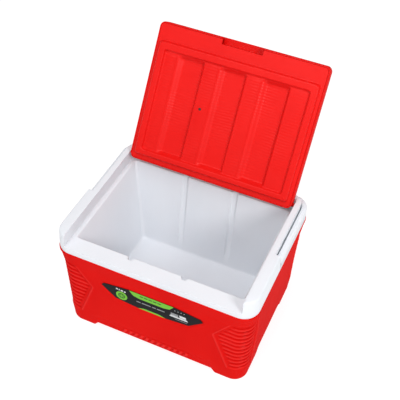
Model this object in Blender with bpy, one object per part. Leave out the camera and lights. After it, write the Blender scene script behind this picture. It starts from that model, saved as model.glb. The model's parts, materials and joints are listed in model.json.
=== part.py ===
"""A small insulated cooler box with a hinged lid and a swinging bail handle.

Metres, +Z up, front towards -Y.  At rest the lid stands open on its stop and the handle lies
round the back of the rim.  Every mesh is written in the closed box's own coordinates, with Y
measured from the middle of the body, and then hung on one of three empties: the body, the lid
on its hinge axis and the handle on its pivot axis.
"""

import math

import bmesh
import bpy
from mathutils import Matrix, Vector

# ---------------------------------------------------------------- driving dimensions
HALF_W = 0.165  # half the outside width at the seam between shell and liner
HALF_D = 0.126  # half the outside depth at the seam
SEAM_Z = 0.174  # height of the seam
LEDGE_Z = 0.186  # top of the ledge that the lid rests on
WALL_TOP_Z = 0.2085  # top of the raised side and back walls
CORNER_R = 0.026  # plan radius of the rim's corners
SHELL_R = 0.025  # plan radius of the shell's corners
GAP = 0.0003  # clearance between pieces that touch
BODY_Y = -0.0463  # body centre, which puts the open cooler over the origin

OPEN_ANGLE = math.radians(122)  # how far the lid stands open
HINGE_Y, HINGE_Z = 0.0972, 0.2024  # lid hinge axis
PIVOT_Y, PIVOT_Z = -0.006, 0.1896  # handle pivot axis

# outer shell
SHELL_WALL = 0.0032
SHELL_PROFILE = (  # height, and how far the face lies inside the seam outline there
    (0.0000, 0.0088),
    (0.0010, 0.0079),
    (0.0060, 0.0075),
    (0.0120, 0.0071),
    (0.0200, 0.0064),
    (0.0300, 0.0057),
    (0.1480, 0.0024),
    (0.1570, 0.0015),
    (0.1640, 0.0006),
    (0.1693, 0.0002),
    (0.1698, -0.0006),
    (0.1732, -0.0006),
    (0.1737, 0.0001),
)
FACE_LOW, FACE_HIGH = SHELL_PROFILE[5], SHELL_PROFILE[6]  # ends of the long straight part
FLOOR_TOP = 0.0120  # inside face of the shell's floor
FOOT_H = 0.009  # the base between the four corner feet is this much higher
FOOT_GAP_X = (0.1095, 0.1030)  # half the gap between the feet in X, at the ground and the base
FOOT_GAP_Y = (0.056, 0.047)  # the same in Y

# ribbed corner panels: a chevron on each face, joined round the corner
RIB_BOTTOM, RIB_TOP, RIB_POINT = 0.031, 0.148, 0.108
RIB_COUNT = 12
RIB_DEPTH = 0.0018
CHEVRON_X = (0.131, 0.1035)  # panel edge on the front and back, at its ends and at its point
CHEVRON_Y = (0.0915, 0.0860)  # panel edge on the sides
CHEVRON_EDGE = 0.0025

# liner
TUB_TOP = (0.1385, -0.0985, 0.0955, 0.005)  # half width, front, back and corner radius
TUB_FLOOR = (0.1185, -0.081, 0.0770, 0.008)
TUB_FLOOR_Z = 0.0225
TUB_WALL = 0.0022
GROOVE_X = 0.0445  # divider grooves, left and right of the middle
GROOVE_HALF = 0.0052
GROOVE_DEPTH = 0.0055
GROOVE_END_Z = 0.044
LID_SPACE_X = 0.1458  # inside faces of the side walls
LID_SPACE_BACK = 0.1065  # inside face of the back wall, which stops the lid
WALL_SKIN = 0.0026
REBATE_FRONT = -0.0185  # the side walls are cut back behind here, for the handle
REBATE_X = 0.1545
REBATE_BACK = 0.1145
REBATE_Z = 0.1813

# handle
HANDLE_OUT = 0.0003  # its outer face lies this far inside the rim's outline
HANDLE_T = 0.0090
HANDLE_H = 0.0160
HANDLE_EDGE = 0.0016
PIVOT_R = 0.004

# lid
LID_X = 0.1425
LID_FRONT, LID_BACK = -0.1265, 0.1027
LID_UNDER = 0.187
LID_TOP = 0.2083
LID_SKIN = 0.0026
LID_R = 0.009
PANEL_X, PANEL_FRONT, PANEL_BACK = 0.1396, -0.1236, 0.0998
RING_X, RING_FRONT, RING_BACK = 0.1348, -0.0971, 0.0927
RING_Z = 0.1805
TRAY_X, TRAY_FRONT, TRAY_BACK = 0.1228, -0.0843, 0.0825
TRAY_Z = 0.185
PIT_Z = 0.191
PIT_X = (-0.072, 0.0, 0.072)
PIT_HALF_X = 0.018
PIT_END = 0.004
PANEL_T = 0.0022
FINGER_X, FINGER_Y, FINGER_Z = 0.0345, -0.1155, 0.2015
HINGE_PIN_R = 0.003

# label and plugs
LABEL_CENTRE_Z = 0.1183
LABEL_EDGE = (  # right half of its outline from its centre, bottom to top
    (0.0240, -0.0188),
    (0.0626, -0.0145),
    (0.0864, 0.0068),
    (0.0825, 0.0122),
    (0.0385, 0.0188),
)
LABEL_T = 0.0006
POCKET_DEPTH = 0.0011
POCKET_MARGIN = 0.003
BAND_X, BAND_TOP, BAND_DEPTH = 0.100, 0.028, 0.0008
BASE_PLUG_R = 0.010
LID_PLUG_R = 0.0026
LID_PLUG_AT = (-0.0424, -0.0079)

ARC = 6  # segments in a quarter turn of a plan corner


# ---------------------------------------------------------------- mesh helpers
def clear_scene():
    for old in list(bpy.data.objects):
        bpy.data.objects.remove(old, do_unlink=True)


def material(name, colour, roughness, metallic=0.0):
    made = bpy.data.materials.new(name)
    made.use_nodes = True
    shader = made.node_tree.nodes["Principled BSDF"]
    shader.inputs["Base Color"].default_value = (*colour, 1.0)
    shader.inputs["Roughness"].default_value = roughness
    shader.inputs["Metallic"].default_value = metallic
    return made


def mesh_object(name, bm):
    """A new object from a bmesh, linked to the scene."""
    bm.normal_update()
    mesh = bpy.data.meshes.new(name)
    bm.to_mesh(mesh)
    bm.free()
    made = bpy.data.objects.new(name, mesh)
    bpy.context.scene.collection.objects.link(made)
    return made


def boolean(target, cutter, operation="DIFFERENCE"):
    """Applies a Boolean to target and removes the cutter."""
    modifier = target.modifiers.new("boolean", "BOOLEAN")
    modifier.solver = "EXACT"
    modifier.operation = operation
    modifier.object = cutter
    bpy.context.view_layer.update()
    depsgraph = bpy.context.evaluated_depsgraph_get()
    result = bpy.data.meshes.new_from_object(target.evaluated_get(depsgraph))
    target.modifiers.clear()
    target.data = result
    bpy.data.objects.remove(cutter, do_unlink=True)


def loft(name, rings):
    """A closed solid through rings of equal length, counter-clockwise seen from above."""
    bm = bmesh.new()
    rows = [[bm.verts.new(point) for point in ring] for ring in rings]
    count = len(rings[0])
    for low, high in zip(rows, rows[1:]):
        for i in range(count):
            j = (i + 1) % count
            bm.faces.new((low[i], low[j], high[j], high[i]))
    bm.faces.new(rows[0][::-1])
    bm.faces.new(rows[-1])
    return mesh_object(name, bm)


def arc(cx, cy, radius, start, end, steps=ARC):
    """Plan points on an arc, with angles in degrees."""
    turn = [math.radians(start + (end - start) * k / steps) for k in range(steps + 1)]
    return [(cx + radius * math.cos(a), cy + radius * math.sin(a)) for a in turn]


def rounded(half_x, front, back, radius, z):
    """A rounded rectangle as a ring."""
    points = arc(half_x - radius, back - radius, radius, 0, 90)
    points += arc(radius - half_x, back - radius, radius, 90, 180)
    points += arc(radius - half_x, front + radius, radius, 180, 270)
    points += arc(half_x - radius, front + radius, radius, 270, 360)
    return [(x, y, z) for x, y in points]


def grooved(half_x, front, back, radius, z, depth=0.0, widen=0.0):
    """A rounded rectangle with the four divider grooves let into its front and back."""
    half = GROOVE_HALF + widen
    across = ((half, 0.0), (0.55 * half, depth), (-0.55 * half, depth), (-half, 0.0))
    points = arc(half_x - radius, back - radius, radius, 0, 90)
    points += [(x + dx, back + dy) for x in (GROOVE_X, -GROOVE_X) for dx, dy in across]
    points += arc(radius - half_x, back - radius, radius, 90, 180)
    points += arc(radius - half_x, front + radius, radius, 180, 270)
    points += [(x - dx, front - dy) for x in (-GROOVE_X, GROOVE_X) for dx, dy in across]
    points += arc(half_x - radius, front + radius, radius, 270, 360)
    return [(x, y, z) for x, y in points]


def around_back(half_x, front, back, radius):
    """Plan points along a U that runs from the right side round the back to the left side."""
    points = [(half_x, front)]
    points += arc(half_x - radius, back - radius, radius, 0, 90)
    points += arc(radius - half_x, back - radius, radius, 90, 180)
    return points + [(-half_x, front)]


def ribbon(name, outer, inner, low, high):
    """A solid band between two plan lines of equal length, from one height to another."""
    bm = bmesh.new()
    rows = []
    for (ox, oy), (ix, iy) in zip(outer, inner):
        corners = ((ix, iy, low), (ox, oy, low), (ox, oy, high), (ix, iy, high))
        rows.append([bm.verts.new(corner) for corner in corners])
    for near, far in zip(rows, rows[1:]):
        for i in range(4):
            j = (i + 1) % 4
            bm.faces.new((near[j], near[i], far[i], far[j]))
    bm.faces.new(rows[0])
    bm.faces.new(rows[-1][::-1])
    bmesh.ops.recalc_face_normals(bm, faces=bm.faces)
    return mesh_object(name, bm)


def prism(name, outline, along, start, end):
    """An outline of (u, v) points pushed along X or Y: for X they are (y, z), for Y (x, z)."""
    bm = bmesh.new()
    place = (lambda s, u, v: (s, u, v)) if along == "X" else (lambda s, u, v: (u, s, v))
    near = [bm.verts.new(place(start, u, v)) for u, v in outline]
    far = [bm.verts.new(place(end, u, v)) for u, v in outline]
    count = len(outline)
    for i in range(count):
        j = (i + 1) % count
        bm.faces.new((near[i], near[j], far[j], far[i]))
    bm.faces.new(near[::-1])
    bm.faces.new(far)
    bmesh.ops.recalc_face_normals(bm, faces=bm.faces)
    return mesh_object(name, bm)


def block(name, x0, x1, y0, y1, z0, z1):
    return prism(name, ((y0, z0), (y1, z0), (y1, z1), (y0, z1)), "X", x0, x1)


def rod(name, radius, x0, x1, y, z, segments=20):
    """A round bar along X."""
    circle = [2 * math.pi * k / segments for k in range(segments)]
    outline = [(y + radius * math.cos(a), z + radius * math.sin(a)) for a in circle]
    return prism(name, outline, "X", x0, x1)


def disc(name, x, y, layers, segments=24):
    """A turned upright piece from (radius, height) layers, bottom to top."""
    turn = [2 * math.pi * k / segments for k in range(segments)]
    rings = [[(x + r * math.cos(a), y + r * math.sin(a), z) for a in turn] for r, z in layers]
    return loft(name, rings)


def between(z, rows):
    """Straight-line reading of a table of (height, value) rows."""
    for (z0, v0), (z1, v1) in zip(rows, rows[1:]):
        if z <= z1:
            return v0 + (v1 - v0) * (z - z0) / (z1 - z0)
    return rows[-1][1]


# ---------------------------------------------------------------- outer shell
def chevron(z, ends_and_point):
    """Distance of the ribbed panel's edge from the middle of a face at this height."""
    end, point = ends_and_point
    rows = ((RIB_BOTTOM, end), (RIB_POINT, point), (RIB_TOP, end))
    return between(max(z, RIB_BOTTOM), rows)


def shell_ring(z, inset, rib=0.0):
    """The shell's outline at one height, its ribbed corners lying rib inside the flat faces."""
    hx, hy = HALF_W - inset, HALF_D - inset
    cx, cy = chevron(z, CHEVRON_X), chevron(z, CHEVRON_Y)
    radius = SHELL_R - max(0.0, inset - 0.006)
    quarter = [(hx, 0.0), (hx, cy), (hx - rib, cy + CHEVRON_EDGE)]
    quarter += arc(hx - radius, hy - radius, radius - rib, 0, 90)
    quarter += [(cx + CHEVRON_EDGE, hy - rib), (cx, hy)]
    rest = quarter[1:]
    plan = quarter + [(0.0, hy)] + [(-x, y) for x, y in reversed(rest)]
    plan += [(-hx, 0.0)] + [(-x, -y) for x, y in rest]
    plan += [(0.0, -hy)] + [(x, -y) for x, y in reversed(rest)]
    return [(x, y, z) for x, y in plan]


def rib_rows():
    """Heights and depths of the rows that make the ribs: valleys between thin crests."""
    pitch = (RIB_TOP - RIB_BOTTOM) / RIB_COUNT
    rows = [(RIB_BOTTOM, 0.0)]
    for k in range(RIB_COUNT):
        base = RIB_BOTTOM + k * pitch
        rows += [(base + 0.25 * pitch, RIB_DEPTH), (base + 0.65 * pitch, RIB_DEPTH)]
        rows.append((base + pitch, 0.0))
    return rows


def face_frame():
    """Placement of the front face: origin at the label's centre, local Y out of the face."""
    lean = math.atan((FACE_LOW[1] - FACE_HIGH[1]) / (FACE_HIGH[0] - FACE_LOW[0]))
    y = between(LABEL_CENTRE_Z, SHELL_PROFILE) - HALF_D
    return Matrix.Translation((0.0, y, LABEL_CENTRE_Z)) @ Matrix.Rotation(lean, 4, "X")


def label_outline(margin):
    """The label's outline, or the recess round it when a margin is added."""
    wider = 1.0 + margin / LABEL_EDGE[2][0]
    right = [(x * wider, z + math.copysign(0.8 * margin, z)) for x, z in LABEL_EDGE]
    return right + [(-x, z) for x, z in reversed(right)]


def foot_cross(z):
    """The cross-shaped gap between the four feet, which narrows upwards."""
    share = z / FOOT_H
    x, y = (wide + (narrow - wide) * share for wide, narrow in (FOOT_GAP_X, FOOT_GAP_Y))
    far_x, far_y = HALF_W + 0.02, HALF_D + 0.02
    plan = [(far_x, -y), (far_x, y), (x, y), (x, far_y), (-x, far_y), (-x, y)]
    plan += [(-px, -py) for px, py in plan]
    return [(px, py, z) for px, py in plan]


def make_outer_shell():
    rows = [(z, inset, 0.0) for z, inset in SHELL_PROFILE if z < RIB_BOTTOM]
    rows += [(z, between(z, SHELL_PROFILE), rib) for z, rib in rib_rows()]
    rows += [(z, inset, 0.0) for z, inset in SHELL_PROFILE if z > RIB_TOP]
    rings = [shell_ring(*row) for row in rows]
    inside = ((0.1737, 0.0001), (0.1570, 0.0015), FACE_LOW, (FLOOR_TOP + 0.004, 0.0073))
    inside += ((FLOOR_TOP, 0.0110),)
    rings += [shell_ring(z, inset + SHELL_WALL) for z, inset in inside]
    shell = loft("outer_shell", rings)
    boolean(shell, loft("foot_gap", [foot_cross(-0.010), foot_cross(FOOT_H)]))
    pocket = prism("pocket", label_outline(POCKET_MARGIN), "Y", -0.02, POCKET_DEPTH)
    pocket.data.transform(face_frame())
    boolean(shell, pocket)
    band = [(between(z, SHELL_PROFILE) - HALF_D + BAND_DEPTH, z) for z in (0.001, 0.012, BAND_TOP)]
    band = [(-0.15, -0.002), (band[0][0], -0.002)] + band + [(-0.15, BAND_TOP)]
    boolean(shell, prism("band", band, "X", -BAND_X, BAND_X))
    boolean(shell, disc("plug_hole", 0, 0, ((BASE_PLUG_R + GAP, -0.01), (BASE_PLUG_R + GAP, 0.02))))
    return shell


def make_front_label():
    plate = prism(
        "front_label", label_outline(0.0), "Y", POCKET_DEPTH - GAP - LABEL_T, POCKET_DEPTH - GAP
    )
    plate.data.transform(face_frame())
    return plate


def make_base_plug():
    head, low = BASE_PLUG_R + 0.004, FOOT_H - 0.0018
    layers = (
        (head - 0.001, low),
        (head, low + 0.0006),
        (head, FOOT_H - GAP),
        (BASE_PLUG_R - GAP, FOOT_H - GAP),
        (BASE_PLUG_R - GAP, FLOOR_TOP - GAP),
    )
    return disc("base_fill_plug", 0, 0, layers)


# ---------------------------------------------------------------- liner and foam
def tub_ring(z, out=0.0, grooves=True):
    """The tub's outline at one height, moved out by a wall's thickness."""
    share = (z - TUB_FLOOR_Z) / (LEDGE_Z - TUB_FLOOR_Z)
    half, front, back, radius = (a + (b - a) * share for a, b in zip(TUB_FLOOR, TUB_TOP))
    depth = GROOVE_DEPTH if grooves else 0.0
    return grooved(half + out, front - out, back + out, radius + out, z, depth, out)


def tub_floor_ring(z, inward, out=0.0):
    half, front, back, radius = TUB_FLOOR
    grow = out - inward
    return grooved(half + grow, front - grow, back + grow, radius, z)


def rim_ring(z, inset):
    return grooved(HALF_W - inset, inset - HALF_D, HALF_D - inset, CORNER_R - inset, z)


def make_inner_liner():
    """Tub, ledge and raised walls in one moulding."""
    groove_full_z = GROOVE_END_Z + 0.006
    under = LEDGE_Z - 0.0032
    rings = [
        tub_floor_ring(TUB_FLOOR_Z - TUB_WALL, 0.003, TUB_WALL),
        tub_floor_ring(TUB_FLOOR_Z + 0.001, 0.0, TUB_WALL),
        tub_ring(GROOVE_END_Z, TUB_WALL, grooves=False),
        tub_ring(groove_full_z, TUB_WALL),
        tub_ring(under, TUB_WALL),
        grooved(0.1450, -0.110, 0.1045, 0.016, under),
        grooved(0.1475, -0.1125, 0.107, 0.018, 0.178),
        rim_ring(0.178, 0.0033),
        rim_ring(SEAM_Z, 0.0031),
        rim_ring(SEAM_Z, 0.0),
        rim_ring(SEAM_Z + 0.010, 0.0),
        rim_ring(WALL_TOP_Z - 0.002, 0.0016),
        rim_ring(WALL_TOP_Z, 0.0034),
        grooved(*TUB_TOP, WALL_TOP_Z, GROOVE_DEPTH),
        tub_ring(LEDGE_Z - 0.001),
        tub_ring(groove_full_z),
        tub_ring(GROOVE_END_Z, grooves=False),
        tub_floor_ring(TUB_FLOOR_Z + 0.003, 0.0),
        tub_floor_ring(TUB_FLOOR_Z, 0.003),
    ]
    liner = loft("inner_liner", rings)
    lid_space = [
        rounded(LID_SPACE_X, -0.16, LID_SPACE_BACK, 0.008, z) for z in (LEDGE_Z, 0.23)
    ]
    boolean(liner, loft("lid_space", lid_space))
    outer = around_back(0.185, REBATE_FRONT, 0.146, 0.030)
    inner = around_back(REBATE_X, REBATE_FRONT, REBATE_BACK, 0.0162)
    boolean(liner, ribbon("rebate", outer, inner, REBATE_Z, 0.23))
    boolean(liner, wall_core())
    boolean(liner, stop_cutter())
    for side in (-1, 1):
        hole = sorted((side * 0.140, side * 0.1515))
        boolean(liner, rod("hinge_hole", HINGE_PIN_R + GAP, *hole, HINGE_Y, HINGE_Z))
        hole = sorted((side * 0.1505, side * 0.160))
        boolean(liner, rod("pivot_hole", PIVOT_R + GAP, *hole, PIVOT_Y, PIVOT_Z))
    return liner


def stop_cutter():
    """Slopes the back wall's inner top edge to the angle at which the open lid leans on it."""
    low, high = 0.202, 0.214

    def lid_top_y(z):
        rise = LID_TOP - HINGE_Z + GAP
        return HINGE_Y + (rise - math.cos(OPEN_ANGLE) * (z - HINGE_Z)) / math.sin(OPEN_ANGLE)

    outline = ((0.100, low), (lid_top_y(low), low), (lid_top_y(high), high), (0.100, high))
    return prism("stop", outline, "X", -0.145, 0.145)


def wall_core():
    """The hollow inside the raised walls, open underneath."""
    inner_x = LID_SPACE_X + WALL_SKIN
    outer_x = HALF_W - 0.0016 - WALL_SKIN
    corner = CORNER_R - 0.0016 - WALL_SKIN
    centre_y = CORNER_R - HALF_D
    jog = REBATE_FRONT - WALL_SKIN
    front = arc(outer_x - corner, centre_y, corner, -62, 0, 4)
    rear_x, rear_y = REBATE_X - WALL_SKIN, REBATE_BACK - WALL_SKIN
    rear = around_back(rear_x, jog + 0.0001, rear_y, 0.0136)
    outer = front + [(outer_x, jog)] + rear + [(-outer_x, jog)]
    outer += [(-x, y) for x, y in reversed(front)]
    rear_in = around_back(inner_x, jog + 0.0001, LID_SPACE_BACK + WALL_SKIN, 0.0094)
    side = [(inner_x, y + 0.0002) for _, y in front] + [(inner_x, jog)]
    inner = side + rear_in + [(-x, y) for x, y in reversed(side)]
    return ribbon("wall_core", outer, inner, 0.165, WALL_TOP_Z - WALL_SKIN)


def make_body_foam():
    """Foam between the shell and the tub."""

    def outside(z, extra=0.0):
        inset = between(z, SHELL_PROFILE) + SHELL_WALL + GAP + extra
        return grooved(HALF_W - inset, inset - HALF_D, HALF_D - inset, SHELL_R, z)

    top = 0.178 - GAP
    clear = TUB_WALL + GAP
    rings = [
        outside(FLOOR_TOP + GAP, 0.0040),
        outside(FLOOR_TOP + 0.0045, 0.0012),
        outside(0.030, 0.0006),
        outside(0.150, 0.0006),
        outside(0.168, 0.0012),
        outside(top, 0.0012),
        tub_ring(top, clear),
        tub_ring(GROOVE_END_Z - 0.001, clear),
        tub_ring(GROOVE_END_Z - 0.006, clear, grooves=False),
        tub_floor_ring(TUB_FLOOR_Z + 0.001, 0.0, clear),
        tub_floor_ring(TUB_FLOOR_Z - clear, 0.003, clear),
    ]
    return loft("body_foam", rings)


# ---------------------------------------------------------------- handle
def make_bail_handle():
    """A flat band that runs round the back, with rounded ends on the pivots."""
    mid_inset = HANDLE_OUT + HANDLE_T / 2
    half_x, back = HALF_W - mid_inset, HALF_D - mid_inset
    radius = CORNER_R - mid_inset
    end_r = HANDLE_H / 2
    path = [(half_x, PIVOT_Y + s, s) for s in (-0.0079, -0.0074, -0.0060, -0.0040, -0.0018, 0.0)]
    round_back = around_back(half_x, 0.03, back, radius)
    path += [(x, y, 0.0) for x, y in round_back]
    path += [(-x, y, s) for x, y, s in reversed(path[:6])]
    bm = bmesh.new()
    rows = []
    for i, (x, y, s) in enumerate(path):
        before, after = path[max(i - 1, 0)], path[min(i + 1, len(path) - 1)]
        along = Vector((after[0] - before[0], after[1] - before[1])).normalized()
        out_x, out_y = along.y, -along.x
        tall = math.sqrt(max(end_r**2 - s**2, 0.0))
        half_t, edge = HANDLE_T / 2, min(HANDLE_EDGE, tall * 0.4)
        section = (
            (-half_t, -tall + edge),
            (-half_t + edge, -tall),
            (half_t - edge, -tall),
            (half_t, -tall + edge),
            (half_t, tall - edge),
            (half_t - edge, tall),
            (-half_t + edge, tall),
            (-half_t, tall - edge),
        )
        rows.append([bm.verts.new((x + out_x * u, y + out_y * u, PIVOT_Z + v)) for u, v in section])
    for near, far in zip(rows, rows[1:]):
        for i in range(8):
            j = (i + 1) % 8
            bm.faces.new((near[i], near[j], far[j], far[i]))
    bm.faces.new(rows[0][::-1])
    bm.faces.new(rows[-1])
    bmesh.ops.recalc_face_normals(bm, faces=bm.faces)
    handle = mesh_object("bail_handle", bm)
    inner_face = HALF_W - HANDLE_OUT - HANDLE_T
    for side in (-1, 1):
        hole = sorted((side * (inner_face - 0.002), side * 0.1620))
        boolean(handle, rod("socket", PIVOT_R + GAP, *hole, PIVOT_Y, PIVOT_Z))
    return handle


def make_handle_pivot(name, side):
    ends = sorted((side * 0.1508, side * 0.1617))
    return rod(name, PIVOT_R, *ends, PIVOT_Y, PIVOT_Z)


# ---------------------------------------------------------------- lid
def lid_ring(z, inset):
    return rounded(LID_X - inset, LID_FRONT + inset, LID_BACK - inset, LID_R - inset, z)


def make_lid_cover():
    """Top and sides of the lid in one moulding, open underneath."""
    skin = LID_SKIN
    deck = LID_TOP - 0.0015
    rings = [
        lid_ring(LID_TOP - skin - 0.0015, skin + 0.0020),
        lid_ring(LID_TOP - skin - 0.0030, skin),
        lid_ring(LID_UNDER, skin),
        lid_ring(LID_UNDER, 0.0008),
        lid_ring(LID_UNDER + 0.001, 0.0),
        lid_ring(LID_TOP - 0.004, 0.0),
        lid_ring(LID_TOP - 0.0012, 0.0012),
        lid_ring(LID_TOP, 0.0040),
        rounded(LID_X - 0.020, LID_FRONT + 0.026, LID_BACK - 0.016, 0.010, LID_TOP),
        rounded(LID_X - 0.0215, LID_FRONT + 0.0275, LID_BACK - 0.0175, 0.0085, deck),
    ]
    cover = loft("lid_cover", rings)
    wall = 0.0025
    box = block(
        "finger_box",
        -FINGER_X - wall,
        FINGER_X + wall,
        LID_FRONT + 0.0012,
        FINGER_Y + wall,
        LID_UNDER + 0.0027,
        LID_TOP - 0.002,
    )
    boolean(cover, box, "UNION")
    recess = block("recess", -FINGER_X, FINGER_X, LID_FRONT - 0.01, FINGER_Y, 0.18, FINGER_Z)
    boolean(cover, recess)
    for side in (-1, 1):
        hole = sorted((side * 0.136, side * 0.146))
        boolean(cover, rod("pin_hole", HINGE_PIN_R + GAP, *hole, HINGE_Y, HINGE_Z))
    return cover


def pit(name, x, grow, low, high):
    """One of the three long pits in the lid's underside, with sloped sides."""
    front, back = TRAY_FRONT + PIT_END, TRAY_BACK - PIT_END
    rings = []
    for z, slope in ((low, 0.0), (high, 0.004)):
        half, room = PIT_HALF_X + grow - slope, grow - slope
        ring = rounded(half, front - room, back + room, 0.007 + grow / 2, z)
        rings.append([(px + x, py, pz) for px, py, pz in ring])
    return loft(name, rings)


def make_lid_inner_panel():
    """Underside of the lid: flange, plug ring, shallow tray and three long pits."""
    t = PANEL_T
    ring_r, tray_r = 0.006, 0.004
    rings = [
        rounded(TRAY_X - 0.001, TRAY_FRONT + 0.001, TRAY_BACK - 0.001, tray_r, TRAY_Z),
        rounded(TRAY_X, TRAY_FRONT, TRAY_BACK, tray_r, RING_Z + 0.0008),
        rounded(TRAY_X + 0.001, TRAY_FRONT - 0.001, TRAY_BACK + 0.001, tray_r, RING_Z),
        rounded(RING_X - 0.001, RING_FRONT + 0.001, RING_BACK - 0.001, ring_r, RING_Z),
        rounded(RING_X, RING_FRONT, RING_BACK, ring_r, RING_Z + 0.001),
        rounded(RING_X + 0.0003, RING_FRONT - 0.0003, RING_BACK + 0.0003, ring_r, LID_UNDER),
        rounded(PANEL_X, PANEL_FRONT, PANEL_BACK, 0.006, LID_UNDER),
        rounded(PANEL_X, PANEL_FRONT, PANEL_BACK, 0.006, LID_UNDER + t),
        rounded(RING_X - 0.0020, RING_FRONT + 0.002, RING_BACK - 0.002, ring_r, LID_UNDER + t),
        rounded(RING_X - 0.0022, RING_FRONT + 0.0022, RING_BACK - 0.0022, ring_r, RING_Z + t),
        rounded(TRAY_X + 0.0022, TRAY_FRONT - 0.0022, TRAY_BACK + 0.0022, tray_r, RING_Z + t),
        rounded(TRAY_X + 0.0012, TRAY_FRONT - 0.0012, TRAY_BACK + 0.0012, tray_r, TRAY_Z + t),
    ]
    panel = loft("lid_inner_panel", rings)
    for x in PIT_X:
        boolean(panel, pit("pit_wall", x, t, TRAY_Z + 0.0006, PIT_Z + t), "UNION")
        boolean(panel, pit("pit", x, 0.0, TRAY_Z - 0.0008, PIT_Z))
    notch = block("notch", -FINGER_X, FINGER_X, LID_FRONT - 0.01, FINGER_Y, 0.18, 0.195)
    boolean(panel, notch)
    x, y = LID_PLUG_AT
    hole = LID_PLUG_R + GAP
    boolean(panel, disc("hole", x, y, ((hole, TRAY_Z - 0.002), (hole, TRAY_Z + 0.0045)), 16))
    return panel


def make_lid_foam():
    low, high = PIT_Z + PANEL_T + GAP, LID_TOP - LID_SKIN - 0.0030
    rings = [rounded(0.1362, -0.1122, 0.0930, 0.006, z) for z in (low, high)]
    return loft("lid_foam", rings)


def make_lid_plug():
    x, y = LID_PLUG_AT
    layers = (
        (LID_PLUG_R - 0.0006, TRAY_Z - 0.0002),
        (LID_PLUG_R, TRAY_Z + 0.0004),
        (LID_PLUG_R, TRAY_Z + PANEL_T),
    )
    return disc("lid_fill_plug", x, y, layers, 16)


def make_hinge_pin(name, side):
    ends = sorted((side * 0.1368, side * 0.1510))
    return rod(name, HINGE_PIN_R, *ends, HINGE_Y, HINGE_Z)


# ---------------------------------------------------------------- assembly
def empty(name, location, turn=0.0):
    made = bpy.data.objects.new(name, None)
    made.location = location
    made.rotation_euler = (turn, 0.0, 0.0)
    bpy.context.scene.collection.objects.link(made)
    return made


def hang(piece, holder, y, z, look):
    """Puts a piece under its empty, with the piece's origin on the empty's axis."""
    piece.data.transform(Matrix.Translation((0.0, -y, -z)))
    piece.parent = holder
    piece.data.materials.clear()
    piece.data.materials.append(look)
    piece.data.shade_smooth()
    piece.data.set_sharp_from_angle(angle=math.radians(30))


def main():
    clear_scene()
    red = (0.78, 0.012, 0.010)
    white = (0.80, 0.82, 0.86)
    foam = (0.86, 0.84, 0.72)
    body = empty("body_centre", (0.0, BODY_Y, 0.0))
    lid = empty("lid_hinge_axis", (0.0, BODY_Y + HINGE_Y, HINGE_Z), -OPEN_ANGLE)
    handle = empty("handle_pivot_axis", (0.0, BODY_Y + PIVOT_Y, PIVOT_Z))
    fixed = (
        (make_outer_shell(), "red_shell", red, 0.42),
        (make_body_foam(), "foam_body", foam, 0.95),
        (make_inner_liner(), "white_liner", white, 0.45),
        (make_front_label(), "black_label", (0.012, 0.013, 0.015), 0.35),
        (make_base_plug(), "red_plug", red, 0.50),
        (make_handle_pivot("handle_pivot_left", -1), "white_pin_left", white, 0.50),
        (make_handle_pivot("handle_pivot_right", 1), "white_pin_right", white, 0.50),
    )
    for piece, name, colour, roughness in fixed:
        hang(piece, body, 0.0, 0.0, material(name, colour, roughness))
    swinging = (
        (make_lid_cover(), "red_lid", red, 0.42),
        (make_lid_inner_panel(), "red_lid_panel", red, 0.42),
        (make_lid_foam(), "foam_lid", foam, 0.95),
        (make_lid_plug(), "dark_plug", (0.03, 0.02, 0.015), 0.60),
        (make_hinge_pin("lid_hinge_pin_left", -1), "red_pin_left", red, 0.50),
        (make_hinge_pin("lid_hinge_pin_right", 1), "red_pin_right", red, 0.50),
    )
    for piece, name, colour, roughness in swinging:
        hang(piece, lid, HINGE_Y, HINGE_Z, material(name, colour, roughness))
    bail = make_bail_handle()
    hang(bail, handle, PIVOT_Y, PIVOT_Z, material("white_handle", white, 0.45))


main()
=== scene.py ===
"""Looks of the cooler box: detailed meshes, moulded-plastic materials, soft light and the camera.

Every mesh is written in the closed box's own coordinates, with Y measured from the middle of the
body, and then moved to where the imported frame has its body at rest.
"""

import json
import math

import bmesh
import bpy
import numpy as np
from mathutils import Matrix, Vector


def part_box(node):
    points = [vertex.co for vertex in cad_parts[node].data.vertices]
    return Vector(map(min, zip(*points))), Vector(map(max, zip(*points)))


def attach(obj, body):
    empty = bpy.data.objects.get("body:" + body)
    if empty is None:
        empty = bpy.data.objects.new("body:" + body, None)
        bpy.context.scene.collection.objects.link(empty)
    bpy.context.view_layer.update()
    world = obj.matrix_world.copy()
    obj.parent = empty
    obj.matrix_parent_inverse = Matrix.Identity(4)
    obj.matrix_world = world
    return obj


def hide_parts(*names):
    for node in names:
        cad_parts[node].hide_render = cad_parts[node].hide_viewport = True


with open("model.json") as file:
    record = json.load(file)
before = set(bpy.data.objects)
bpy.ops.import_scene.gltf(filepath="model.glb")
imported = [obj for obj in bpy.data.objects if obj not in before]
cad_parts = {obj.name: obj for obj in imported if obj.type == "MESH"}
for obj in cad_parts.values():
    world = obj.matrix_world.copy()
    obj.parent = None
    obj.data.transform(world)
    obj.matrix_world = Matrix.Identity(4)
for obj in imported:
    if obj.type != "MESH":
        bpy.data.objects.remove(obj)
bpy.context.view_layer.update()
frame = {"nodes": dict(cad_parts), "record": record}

# ---------------------------------------------------------------- where things are
JOINTS = {j["name"]: j for j in frame["record"]["behaviour"]["joints"]}
SHELL_LOW, SHELL_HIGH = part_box("outer_shell")
BODY_Y = (SHELL_LOW.y + SHELL_HIGH.y) / 2
OPEN_ANGLE = math.radians(JOINTS["lid_hinge"]["range_deg"][1])
HINGE = Vector(JOINTS["lid_hinge"]["pos_m"])
PIVOT = Vector(JOINTS["handle_swing"]["pos_m"])
HINGE_Y, HINGE_Z = HINGE.y - BODY_Y, HINGE.z
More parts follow.
